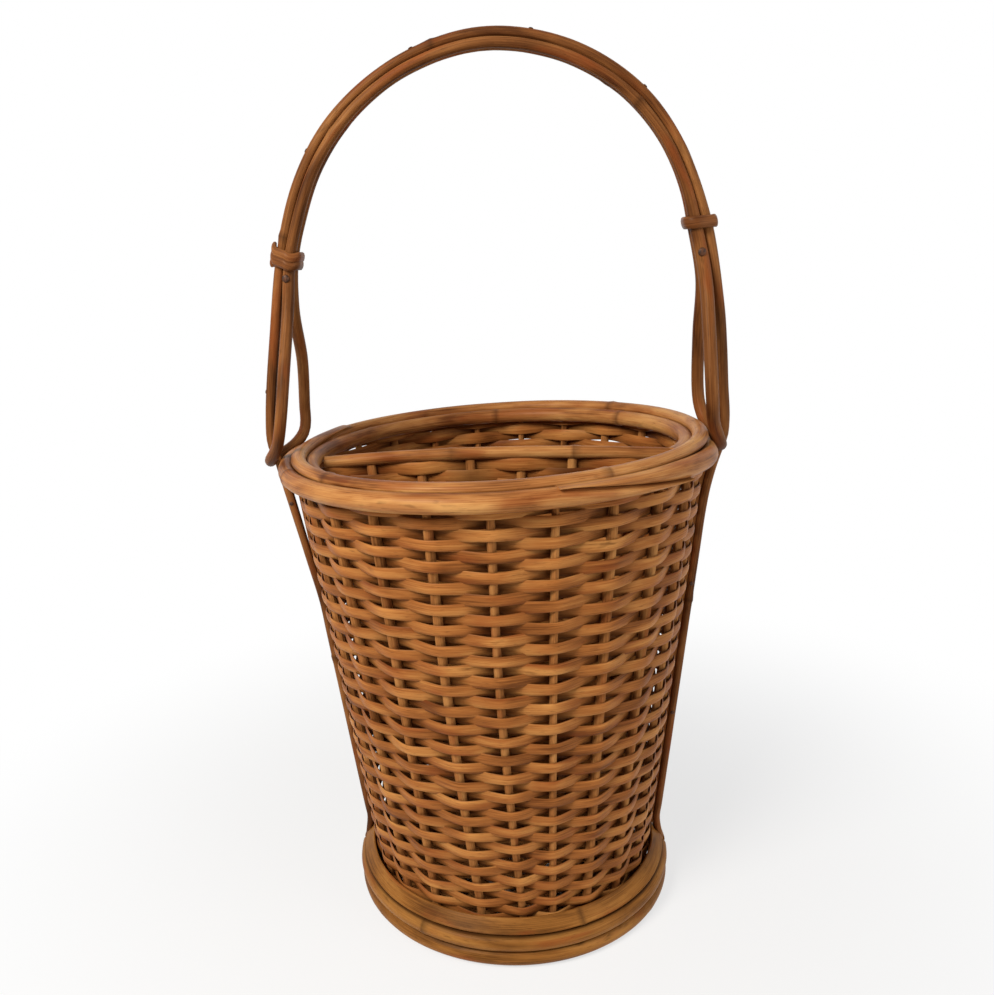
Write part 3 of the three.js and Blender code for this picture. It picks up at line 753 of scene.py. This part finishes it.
class Finish:
    """The finish of a material, or of the room, made node by node."""

    def __init__(self, block):
        block.use_nodes = True
        self.block, self.tree = block, block.node_tree

    def node(self, kind, settings=None, sockets=None, output=0):
        made = self.tree.nodes.new(kind)
        for name, value in (settings or {}).items():
            if name == "stops":
                ramp = made.color_ramp.elements
                while len(ramp) < len(value):
                    ramp.new(0.5)
                for stop, (place, colour) in zip(ramp, value):
                    stop.position, stop.color = place, (*colour, 1)
            else:
                setattr(made, name, value)
        for name, value in (sockets or {}).items():
            self.join(value, made.inputs[name])
        return Field(self, made.outputs[output])

    def join(self, value, socket):
        if isinstance(value, Field):
            self.tree.links.new(value.socket, socket)
        else:
            socket.default_value = value

    def set(self, name, value, of="Principled BSDF"):
        self.join(value, self.tree.nodes[of].inputs[name])

    def kept(self, name, output="Fac"):
        return self.node("ShaderNodeAttribute", {"attribute_type": "GEOMETRY", "attribute_name": name},
                         output=output)

    def stretched(self, vector, scale):
        return self.node("ShaderNodeMapping", {"vector_type": "POINT"}, {"Vector": vector, "Scale": scale})

    def noise(self, vector, detail=2.0, rough=0.5, distortion=0.0):
        return self.node("ShaderNodeTexNoise", {}, {"Vector": vector, "Scale": 1.0, "Detail": detail,
                                                    "Roughness": rough, "Distortion": distortion})

    def between(self, value, low, high):
        """0 below low, 1 above high, and smooth between."""
        return self.node("ShaderNodeMapRange", {"interpolation_type": "SMOOTHSTEP"},
                         {"Value": value, "From Min": low, "From Max": high})

    def mix(self, share, a, b):
        return self.node("ShaderNodeMix", {"data_type": "RGBA", "blend_type": "MIX"},
                         {0: share, 6: a, 7: b}, output=2)

    def ramp(self, value, stops):
        return self.node("ShaderNodeValToRGB", {"stops": stops}, {0: value})

    def looked_at(self):
        """1 for what is seen, also in gloss and through clear bodies, and 0 for what only gives light."""
        rays = self.node("ShaderNodeLightPath").socket.node.outputs
        camera, glossy, clear = (Field(self, rays[name]) for name in
                                 ("Is Camera Ray", "Is Glossy Ray", "Is Transmission Ray"))
        return camera.most(glossy.most(clear))


def shade(red, green, blue):
    """A colour as it looks on a screen, 0 to 255, as the linear numbers that a shader takes."""
    def linear(c):
        c /= 255
        return c / 12.92 if c <= 0.04045 else ((c + 0.055) / 1.055) ** 2.4
    return linear(red), linear(green), linear(blue)


WHITE = (1, 1, 1, 1)
# How often a pattern repeats in a metre, twice across the cane and once along it
FIBRES, FINE_FIBRES, PORES = (1900, 1900, 26), (5200, 5200, 90), (2600, 2600, 170)
PATCHES, RUDDY_PATCHES, SPOTS = (90, 90, 17), (130, 130, 31), (420, 420, 110)
# How much each pattern has to say in the tone
PATCH_WEIGHT, FIBRE_WEIGHT, FINE_WEIGHT = 1.5, 0.7, 0.25
TONE_DROP = (PATCH_WEIGHT + FIBRE_WEIGHT + FINE_WEIGHT) / 2 - 0.5
DARK_AT, MIDDLE_AT, LIGHT_AT = 0.2, 0.48, 0.8
# Where in its noise each of these begins and is at its most, and how strongly it then colours the cane
RUDDY, RUDDY_ENDS, RUDDY_SHARE = (0.25, 0.055, 0.012, 1), (0.5, 0.72), 0.5
PORE_ENDS, PORE_SHARE = (0.66, 0.74), 0.45
STAIN_WIDTH, PATCH_IN_STAIN, STAIN_SHARE = 0.16, 0.55, 0.7
# How strongly the painted shade and the darker joints colour the cane
PAINTED_SHADE_SHARE, JOINT_SHARE = 0.85, 0.6
ROUGH_FIBRES, ROUGH_STAINS = 0.25, 0.12
FIBRE_RELIEF, FINE_RELIEF, PORE_RELIEF = 0.6, 0.3, 0.6
SKIN_ROUGHNESS, SPECULAR_LEVEL, SPECULAR_TINT = 0.3, 0.12, (1.0, 0.74, 0.46, 1)
BUMP_STRENGTH, BUMP_DEPTH = 0.4, 0.25 * MM


def rattan(name, dark, middle, light, stain_and_shade, roughness, coat, stains_from=0.6):
    """Cane: long fibres, patches of tone, dark dashes of open pores, stains, darker joints and painted shade.
    """
    f = Finish(bpy.data.materials.new(name))
    grain = f.kept("grain", "Vector")
    fibre = f.noise(f.stretched(grain, FIBRES), 3.0, 0.62)
    fine = f.noise(f.stretched(grain, FINE_FIBRES), 2.0, 0.6)
    patch = f.noise(f.stretched(grain, PATCHES), 3.0, 0.55, 0.4)
    ruddy = f.between(f.noise(f.stretched(grain, RUDDY_PATCHES)), *RUDDY_ENDS)
    spot = f.noise(f.stretched(grain, SPOTS))
    pores = f.between(f.noise(f.stretched(grain, PORES), 1.0), *PORE_ENDS)
    stains = f.between(patch * PATCH_IN_STAIN + spot * (1 - PATCH_IN_STAIN), stains_from,
                       stains_from + STAIN_WIDTH)
    tone = patch * PATCH_WEIGHT + fibre * FIBRE_WEIGHT + fine * FINE_WEIGHT - TONE_DROP
    colour = f.ramp(tone, [(DARK_AT, shade(*dark)), (MIDDLE_AT, shade(*middle)), (LIGHT_AT, shade(*light))])
    colour = f.mix(ruddy * RUDDY_SHARE, colour, RUDDY)
    # One dark colour paints the stains, the pores, the painted shade and the darker joints
    for mask, share in ((stains, STAIN_SHARE), (pores, PORE_SHARE), (f.kept("soiled"), PAINTED_SHADE_SHARE),
                        (f.kept("knot"), JOINT_SHARE)):
        colour = f.mix(mask * share, colour, (*shade(*stain_and_shade), 1))
    f.set("Base Color", colour)
    f.set("Roughness", fibre * ROUGH_FIBRES + stains * ROUGH_STAINS + roughness)
    f.set("Coat Weight", coat)
    f.set("Coat Roughness", SKIN_ROUGHNESS)
    f.set("Specular IOR Level", SPECULAR_LEVEL)
    f.set("Specular Tint", SPECULAR_TINT)
    relief = fibre * FIBRE_RELIEF + fine * FINE_RELIEF - pores * PORE_RELIEF
    f.set("Normal", f.node("ShaderNodeBump", {}, {"Strength": BUMP_STRENGTH, "Distance": BUMP_DEPTH,
                                                  "Height": relief}))
    return f.block


# Each cane's last colour is that of its stains and also of its painted shade
WEAVE = rattan("split_cane", (106, 59, 25), (166, 102, 50), (202, 140, 76), (66, 30, 10), 0.38, 0.02)
STAKE = rattan("stake_core", (104, 62, 30), (158, 102, 54), (188, 132, 76), (74, 38, 16), 0.56, 0)
RIM = rattan("rim_cane", (100, 54, 24), (168, 109, 59), (206, 151, 90), (60, 28, 12), 0.34, 0.06)
FOOT = rattan("foot_cane", (86, 50, 18), (140, 90, 40), (172, 118, 58), (52, 28, 10), 0.38, 0.03)
HANDLE = rattan("handle_cane", (62, 30, 12), (116, 70, 35), (154, 102, 56), (38, 18, 6), 0.38, 0.02,
                stains_from=0.58)
COLLAR = rattan("collar_cane", (70, 34, 16), (124, 74, 38), (172, 114, 64), (46, 22, 10), 0.34, 0.04)
BATTEN = rattan("batten_cane", (96, 54, 24), (144, 90, 46), (180, 124, 70), (58, 28, 12), 0.46, 0)
BASE = rattan("base_cane", (104, 64, 30), (154, 100, 52), (186, 130, 76), (72, 38, 16), 0.51, 0)
iron = Finish(bpy.data.materials.new("nail_iron"))
rust = iron.noise(iron.stretched(iron.node("ShaderNodeTexCoord", output="Object"), (900, 900, 900)))
iron.set("Base Color", iron.ramp(rust, [(0.35, shade(46, 26, 14)), (0.65, shade(92, 54, 30))]))
iron.set("Roughness", rust * 0.3 + 0.4)
iron.set("Metallic", 0.5)


def finished(piece, material, node=None):
    """Gives a piece its finish, and hides the node of the CAD that it stands for."""
    piece.data.materials.clear()
    piece.data.materials.append(material)
    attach(piece, "root")
    if node:
        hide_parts(node)


NOTCH_HALF, NOTCH_REACH, NOTCH_TALL = 2.9 * MM, 20 * MM, 24 * MM


def notched(piece, inner, height):
    """Two square notches at the ends of X, where the side rods are let in."""
    for side in (1, -1):
        bpy.ops.mesh.primitive_cube_add(size=1, location=(side * (inner + NOTCH_REACH / 2), 0, height),
                                        scale=(NOTCH_REACH, 2 * NOTCH_HALF, NOTCH_TALL))
        tool = bpy.context.object
        bpy.ops.object.transform_apply(location=True, scale=True)
        cut = piece.modifiers.new("notch", "BOOLEAN")
        cut.object, cut.operation, cut.solver = tool, "DIFFERENCE", "EXACT"
        bpy.context.view_layer.objects.active = piece
        bpy.ops.object.modifier_apply(modifier="notch")
        bpy.data.objects.remove(tool)
    bpy.ops.object.select_all(action="DESELECT")


# Cross-section of the foot's band, in mm outwards and upwards from its middle
BAND_SECTION = [(4.2, -3.0), (4.3, -2.4), (3.5, -1.6), (2.3, -0.3), (1.1, 1.0), (-0.1, 2.3), (-1.2, 3.5),
                (-2.0, 4.3), (-2.8, 4.2), (-3.1, 3.4), (-3.1, 1.0), (-3.1, -1.6), (-2.7, -3.2),
                (-1.2, -3.7), (0.8, -3.8), (3.0, -3.7)]
BAND_CIRCLE, BAND_HEIGHT = 92.4 * MM, 25.9 * MM
BAND_RADIUS, BAND_SWELL = 4 * MM, 1.03
BAND_START, BAND_JOINTS = 90, (243, 297, 195, 20)


def band_shape(flat, share):
    """Lays the corners of a round cane on the band's cross-section. A ring's own X points inwards."""
    shape = np.array(BAND_SECTION) * MM
    turn = np.arctan2(flat[:, 1], flat[:, 0])
    corner = np.rint(-turn / (2 * math.pi) * len(shape)).astype(int) % len(shape)
    size = np.clip(np.hypot(flat[:, 0], flat[:, 1]) / BAND_RADIUS, 0, BAND_SWELL)[:, None]
    laid = shape[corner] * size
    return np.stack([-laid[:, 0], laid[:, 1]], axis=1)


STAKE_WIDENING, STAKE_FLATNESS = 1.24, 0.93


def flattened(direction):
    """Makes a stake wide between the weavers and a little flatter where they cross it."""
    way = np.array(direction)
    return lambda flat, share: (flat * STAKE_WIDENING
                                - np.outer(flat @ way, way) * (STAKE_WIDENING - STAKE_FLATNESS))


BATTEN_HALF_THICK, BATTEN_HALF_WIDTH = 0.6 * MM, 4 * MM
THICK_POWER, WIDE_POWER = 0.6, 0.8


def batten_shape(flat, share):
    """A flat cane's section: thin along X and wide along Y, with its round filled out by a power."""
    size = np.hypot(flat[:, 0], flat[:, 1]).max()
    x, y = flat[:, 0] / size, flat[:, 1] / size
    return np.stack([np.sign(x) * np.abs(x) ** THICK_POWER * BATTEN_HALF_THICK,
                     np.sign(y) * np.abs(y) ** WIDE_POWER * BATTEN_HALF_WIDTH], axis=1)


finished(wall_weave(), WEAVE, "wall_weave")
finished(divider_weave(), WEAVE, "divider_weave")
finished(woven_base(), BASE, "base")

STAKE_HEIGHTS = [z * MM for z in (3.2, 30, 60, 90, 120, 160, 200, 268, 276.2)]
TIP_HEIGHTS = (264 * MM, 270 * MM)
RAIL_SEAT = 0.2 * MM
for i in range(STAKES):
    turn = stake_angle(i, STAKE_HEIGHTS[-1])
    route = smooth_route([on_wall(i, z) for z in STAKE_HEIGHTS], per_span=6)
    tip = by_height(route, TIP_HEIGHTS, (1, STAKE_TIP_RADIUS / STAKE_RADIUS))
    stake = cane(f"wall_upright_{i + 1:02d}", route, STAKE_RADIUS, sides=8, step=7 * MM, seed=i, taper=tip,
                 section=flattened((math.sin(turn), -math.cos(turn))))
    finished(stake, STAKE, f"wall_stake_{i + 1:02d}")
for i in range(DIVIDER_STAKES):
    top = rail_height(divider_x(i, RIM_HEIGHT)) - RAIL_RADIUS + RAIL_SEAT
    route = smooth_route([(divider_x(i, z), 0, z) for z in (DIVIDER_FOOT, TAPER_HEIGHT, top)], per_span=8)
    stake = cane(f"divider_upright_{i + 1}", route, STAKE_RADIUS, sides=8, step=7 * MM, seed=40 + i,
                 section=flattened((1, 0)))
    finished(stake, STAKE, f"divider_stake_{i + 1:02d}")

RING_STEP = 3.6 * MM


def ring(name, circle, height, radius, start, lap, joints, seed, crevice, wobble=0, sides=16,
         dent=None, widen=1):
    """A lapped ring of cane. Its start, its lap and its joints are angles in degrees."""
    turn = 360 + lap
    return cane(name, ring_route(circle, height, start, turn, wobble, seed, dent), radius, sides=sides,
                step=RING_STEP, seed=seed, joints=[((joint - start) % 360) / turn for joint in joints],
                section=lapped(lap / turn, radius, widen), crevice=crevice)


# The outer rod bends down and in where the right loop's foot is let in: degrees, mm outward, mm upward
FOOT_DENT = ([-38, -24, -12, -4, 4, 16, 28, 44], [0, -0.4, -2.4, -4.8, -5.5, -5.0, -2.6, 0],
             [0, -1.2, -3.0, -2.4, 0, 1.2, 0.8, 0])
# Each ring is painted with shade on the side towards its crevice
finished(ring("rim_outer_rod", RIM_OUTER_CIRCLE, RIM_HEIGHT, RIM_OUTER_RADIUS, start=286, lap=38,
              joints=(205, 120, 50), seed=1, wobble=0.35 * MM, dent=FOOT_DENT, crevice=(0.85, 0.6)),
         RIM, "rim_outer_ring")
finished(ring("rim_inner_rod", RIM_INNER_CIRCLE, RIM_INNER_HEIGHT, RIM_INNER_RADIUS, start=334, lap=32,
              joints=(43, 92, 143, 163, 282), seed=2, wobble=0.3 * MM, crevice=(-0.8, 0.6)),
         RIM, "rim_inner_ring")
finished(ring("rim_top_rod", RIM_STAKE_CIRCLE, RIM_TOP_HEIGHT, RIM_TOP_RADIUS, start=150, lap=26,
              joints=(225, 300, 50), seed=3, wobble=0.25 * MM, crevice=(-0.75, -0.66), widen=1.3),
         RIM, "rim_top_ring")
finished(ring("foot_lower_rod", FOOT_CIRCLE, LOWER_FOOT_HEIGHT, LOWER_FOOT_RADIUS, start=60, lap=34,
              joints=(218, 330, 130), seed=4, sides=20, crevice=(0, 1)), FOOT, "foot_ring_lower")
upper_foot = ring("foot_upper_rod", FOOT_CIRCLE, UPPER_FOOT_HEIGHT, FOOT_RADIUS, start=120, lap=34,
                  joints=(240, 312, 20), seed=5, sides=20, crevice=(0, 1))
notched(upper_foot, inner=93.2 * MM, height=UPPER_FOOT_HEIGHT + 5 * MM)
finished(upper_foot, FOOT, "foot_ring_upper")
band = cane("foot_band_cane", ring_route(BAND_CIRCLE, BAND_HEIGHT, BAND_START), BAND_RADIUS,
            sides=len(BAND_SECTION), step=RING_STEP, seed=9,
            joints=[((joint - BAND_START) % 360) / 360 for joint in BAND_JOINTS], section=band_shape)
notched(band, inner=91.6 * MM, height=UPPER_FOOT_HEIGHT + 8 * MM)
finished(band, FOOT, "foot_band")

spine = spine_route()
# The top rod is painted with shade on its side towards its crevice
finished(cane("handle_top_rod", spine, HANDLE_RADIUS, step=3.5 * MM, seed=6,
              joints=(0.17, 0.39, 0.52, 0.63, 0.86), taper=by_place(spine, spine_share), crevice=(0, 1)),
         HANDLE, "handle_spine")
loops = loop_route(spine)
# The long rod is painted with shadow at its turns under the rim
finished(cane("handle_loops", loops, HANDLE_RADIUS, step=3.5 * MM, seed=7,
              joints=(0.06, 0.42, 0.57, 0.93), taper=by_place(loops, loop_share),
              painted_shade_along=by_height(loops, LOOP_PAINTED_SHADOW_ENDS, (LOOP_PAINTED_SHADOW, 0))), HANDLE, "handle_loop_rod")
rail = smooth_route([(s * RAIL_REACH, 0, rail_height(s * RAIL_REACH)) for s in (-1, -0.5, 0, 0.5, 1)])
finished(cane("divider_rod", rail, RAIL_RADIUS, seed=8, joints=(0.37, 0.72)), RIM, "divider_rail")

BATTEN_HEIGHTS = [z * MM for z in (32, 100, 180, 262)]
BATTEN_OUT = WALL_HALF + 1 * MM
for side, word in ((1, "right"), (-1, "left")):
    line = smooth_route([(side * (stake_circle(z) + BATTEN_OUT), 0, z) for z in BATTEN_HEIGHTS])
    finished(cane(f"flat_cane_{word}", line, BATTEN_HALF_WIDTH, sides=12, step=8 * MM, seed=20 + side,
                  section=batten_shape), BATTEN, f"batten_{word}")
finished(collar("collar_band", spine, 1, turns=1.06, half_width=2.8 * MM, half_thick=1.1 * MM,
                pitch=0.3 * MM, dip=0.2 * MM, tilt=0.28, seed=31), COLLAR, "collar_right")
finished(collar("collar_wrap", spine, -1, turns=2, half_width=2.5 * MM, half_thick=1.3 * MM,
                pitch=3.6 * MM, dip=2.2 * MM, tilt=0, seed=32), COLLAR, "collar_left")

# Nails, in mm: on which side and how high they are, where the head is, and its radius
NAILS = [(-1, 420.1, "out", 1.1), (-1, 455.2, "out", 1.1), (1, 457.1, "out", 1.1), (1, 431.2, "out", 1.1),
         (-1, 311.3, "out", 1.1), (-1, 367.9, "pair", 1.9), (1, 364.3, "pair", 1.9),
         (-1, 250.5, "front", 1.2), (1, 194.8, "front", 1.2), (1, 112.9, "front", 1.2)]
NAIL_SINKS = 0.97
PAIR_FRONT = 2 * PAIR_HALF + 0.8 * MM
for number, (side, height, where, size) in enumerate(NAILS, 1):
    point, _, inward = on_spine(spine, height * MM, side)
    radius = HANDLE_RADIUS * spine_share(point)
    place, way = {"out": (point - inward * (NAIL_SINKS * radius), -inward),
                  "front": (point + FRONT * radius, FRONT),
                  "pair": (point + inward * PAIR_DROP + FRONT * PAIR_FRONT, FRONT)}[where]
    finished(nail(f"nail_{number:02d}", place, way, size * MM), iron.block)

# The camera as it was fitted to the photograph, in pixels, metres and angles
IMAGE_SIDE = 995
FOCAL_PIXELS = 862.63
SHIFT_PIXELS = (74.44, 163.52)
SENSOR = 36.0
STAND_OFF, EYE_HEIGHT, STAND_TURN = 470.89 * MM, 370.81 * MM, math.radians(-3)
PITCH, YAW, ROLL = math.radians(24.98), math.radians(-5.93 - 3), math.radians(-4.89)
camera_data = bpy.data.cameras.new("camera")
camera_data.sensor_width = SENSOR
camera_data.lens = FOCAL_PIXELS / IMAGE_SIDE * SENSOR
camera_data.shift_x, camera_data.shift_y = (pixels / IMAGE_SIDE for pixels in SHIFT_PIXELS)
camera_data.clip_start, camera_data.clip_end = 0.02, 60
camera = bpy.data.objects.new("camera", camera_data)
bpy.context.collection.objects.link(camera)
bpy.context.scene.camera = camera
forward = Vector((math.sin(YAW) * math.cos(PITCH), math.cos(YAW) * math.cos(PITCH), -math.sin(PITCH)))
level = Vector((math.cos(YAW), -math.sin(YAW), 0))
upright = level.cross(forward)
right = level * math.cos(ROLL) + upright * math.sin(ROLL)
up = upright * math.cos(ROLL) - level * math.sin(ROLL)
eye = Vector((-STAND_OFF * math.sin(STAND_TURN), -STAND_OFF * math.cos(STAND_TURN), EYE_HEIGHT))
camera.matrix_world = Matrix.Translation(eye) @ Matrix((right, up, -forward)).transposed().to_4x4()

# Far away the floor glows as white as the background. Near the basket it is partly plain paper, so
# that a shadow shows, and within the foot it does not glow
FLOOR_NEAR, FLOOR_NEAR_ENDS = 0.72, (0.12, 0.5)
FLOOR_UNDER_ENDS = (0.084, 0.1)
bpy.ops.mesh.primitive_circle_add(vertices=96, radius=30, fill_type="NGON")
floor = new_piece("floor")
paper = Finish(bpy.data.materials.new("white_paper"))
paper.set("Base Color", (0.8, 0.8, 0.8, 1))
paper.set("Roughness", 0.9)
middle_out = paper.node("ShaderNodeVectorMath", {"operation": "LENGTH"},
                        {0: paper.node("ShaderNodeTexCoord", output="Object")}, output="Value")
glow = paper.between(middle_out, *FLOOR_NEAR_ENDS) * (1 - FLOOR_NEAR) + FLOOR_NEAR
lit = paper.looked_at() * paper.between(middle_out, *FLOOR_UNDER_ENDS) * glow
light = paper.node("ShaderNodeEmission", {}, {"Color": WHITE, "Strength": 1.0})
plain = Field(paper, paper.tree.nodes["Principled BSDF"].outputs[0])
paper.set("Surface", paper.node("ShaderNodeMixShader", {}, {0: lit, 1: plain, 2: light}), "Material Output")
floor.data.materials.append(paper.block)

ROOM_LIGHT = 0.15
bpy.context.scene.world = bpy.data.worlds.new("room")
room = Finish(bpy.context.scene.world)
room.set("Color", WHITE, "Background")
room.set("Strength", room.node("ShaderNodeMapRange", {}, {"Value": room.looked_at(), "To Min": ROOM_LIGHT,
                                                          "To Max": 1.0}), "Background")


def lamp(name, place, target, size, watts, colour):
    """A round soft lamp that faces a target."""
    data = bpy.data.lights.new(name, "AREA")
    data.shape = "DISK"
    data.size, data.energy, data.color = size, watts, colour
    made = bpy.data.objects.new(name, data)
    bpy.context.collection.objects.link(made)
    made.location = place
    made.rotation_euler = (Vector(target) - Vector(place)).to_track_quat("-Z", "Y").to_euler()


lamp("key", (-0.5, -0.7, 0.95), (0, 0, 0.24), size=0.45, watts=13.5, colour=(1.0, 0.96, 0.9))
lamp("fill", (1.05, -0.55, 0.45), (0, 0, 0.2), size=0.9, watts=4.4, colour=(1, 1, 1))

bpy.context.scene.view_settings.view_transform = "Standard"
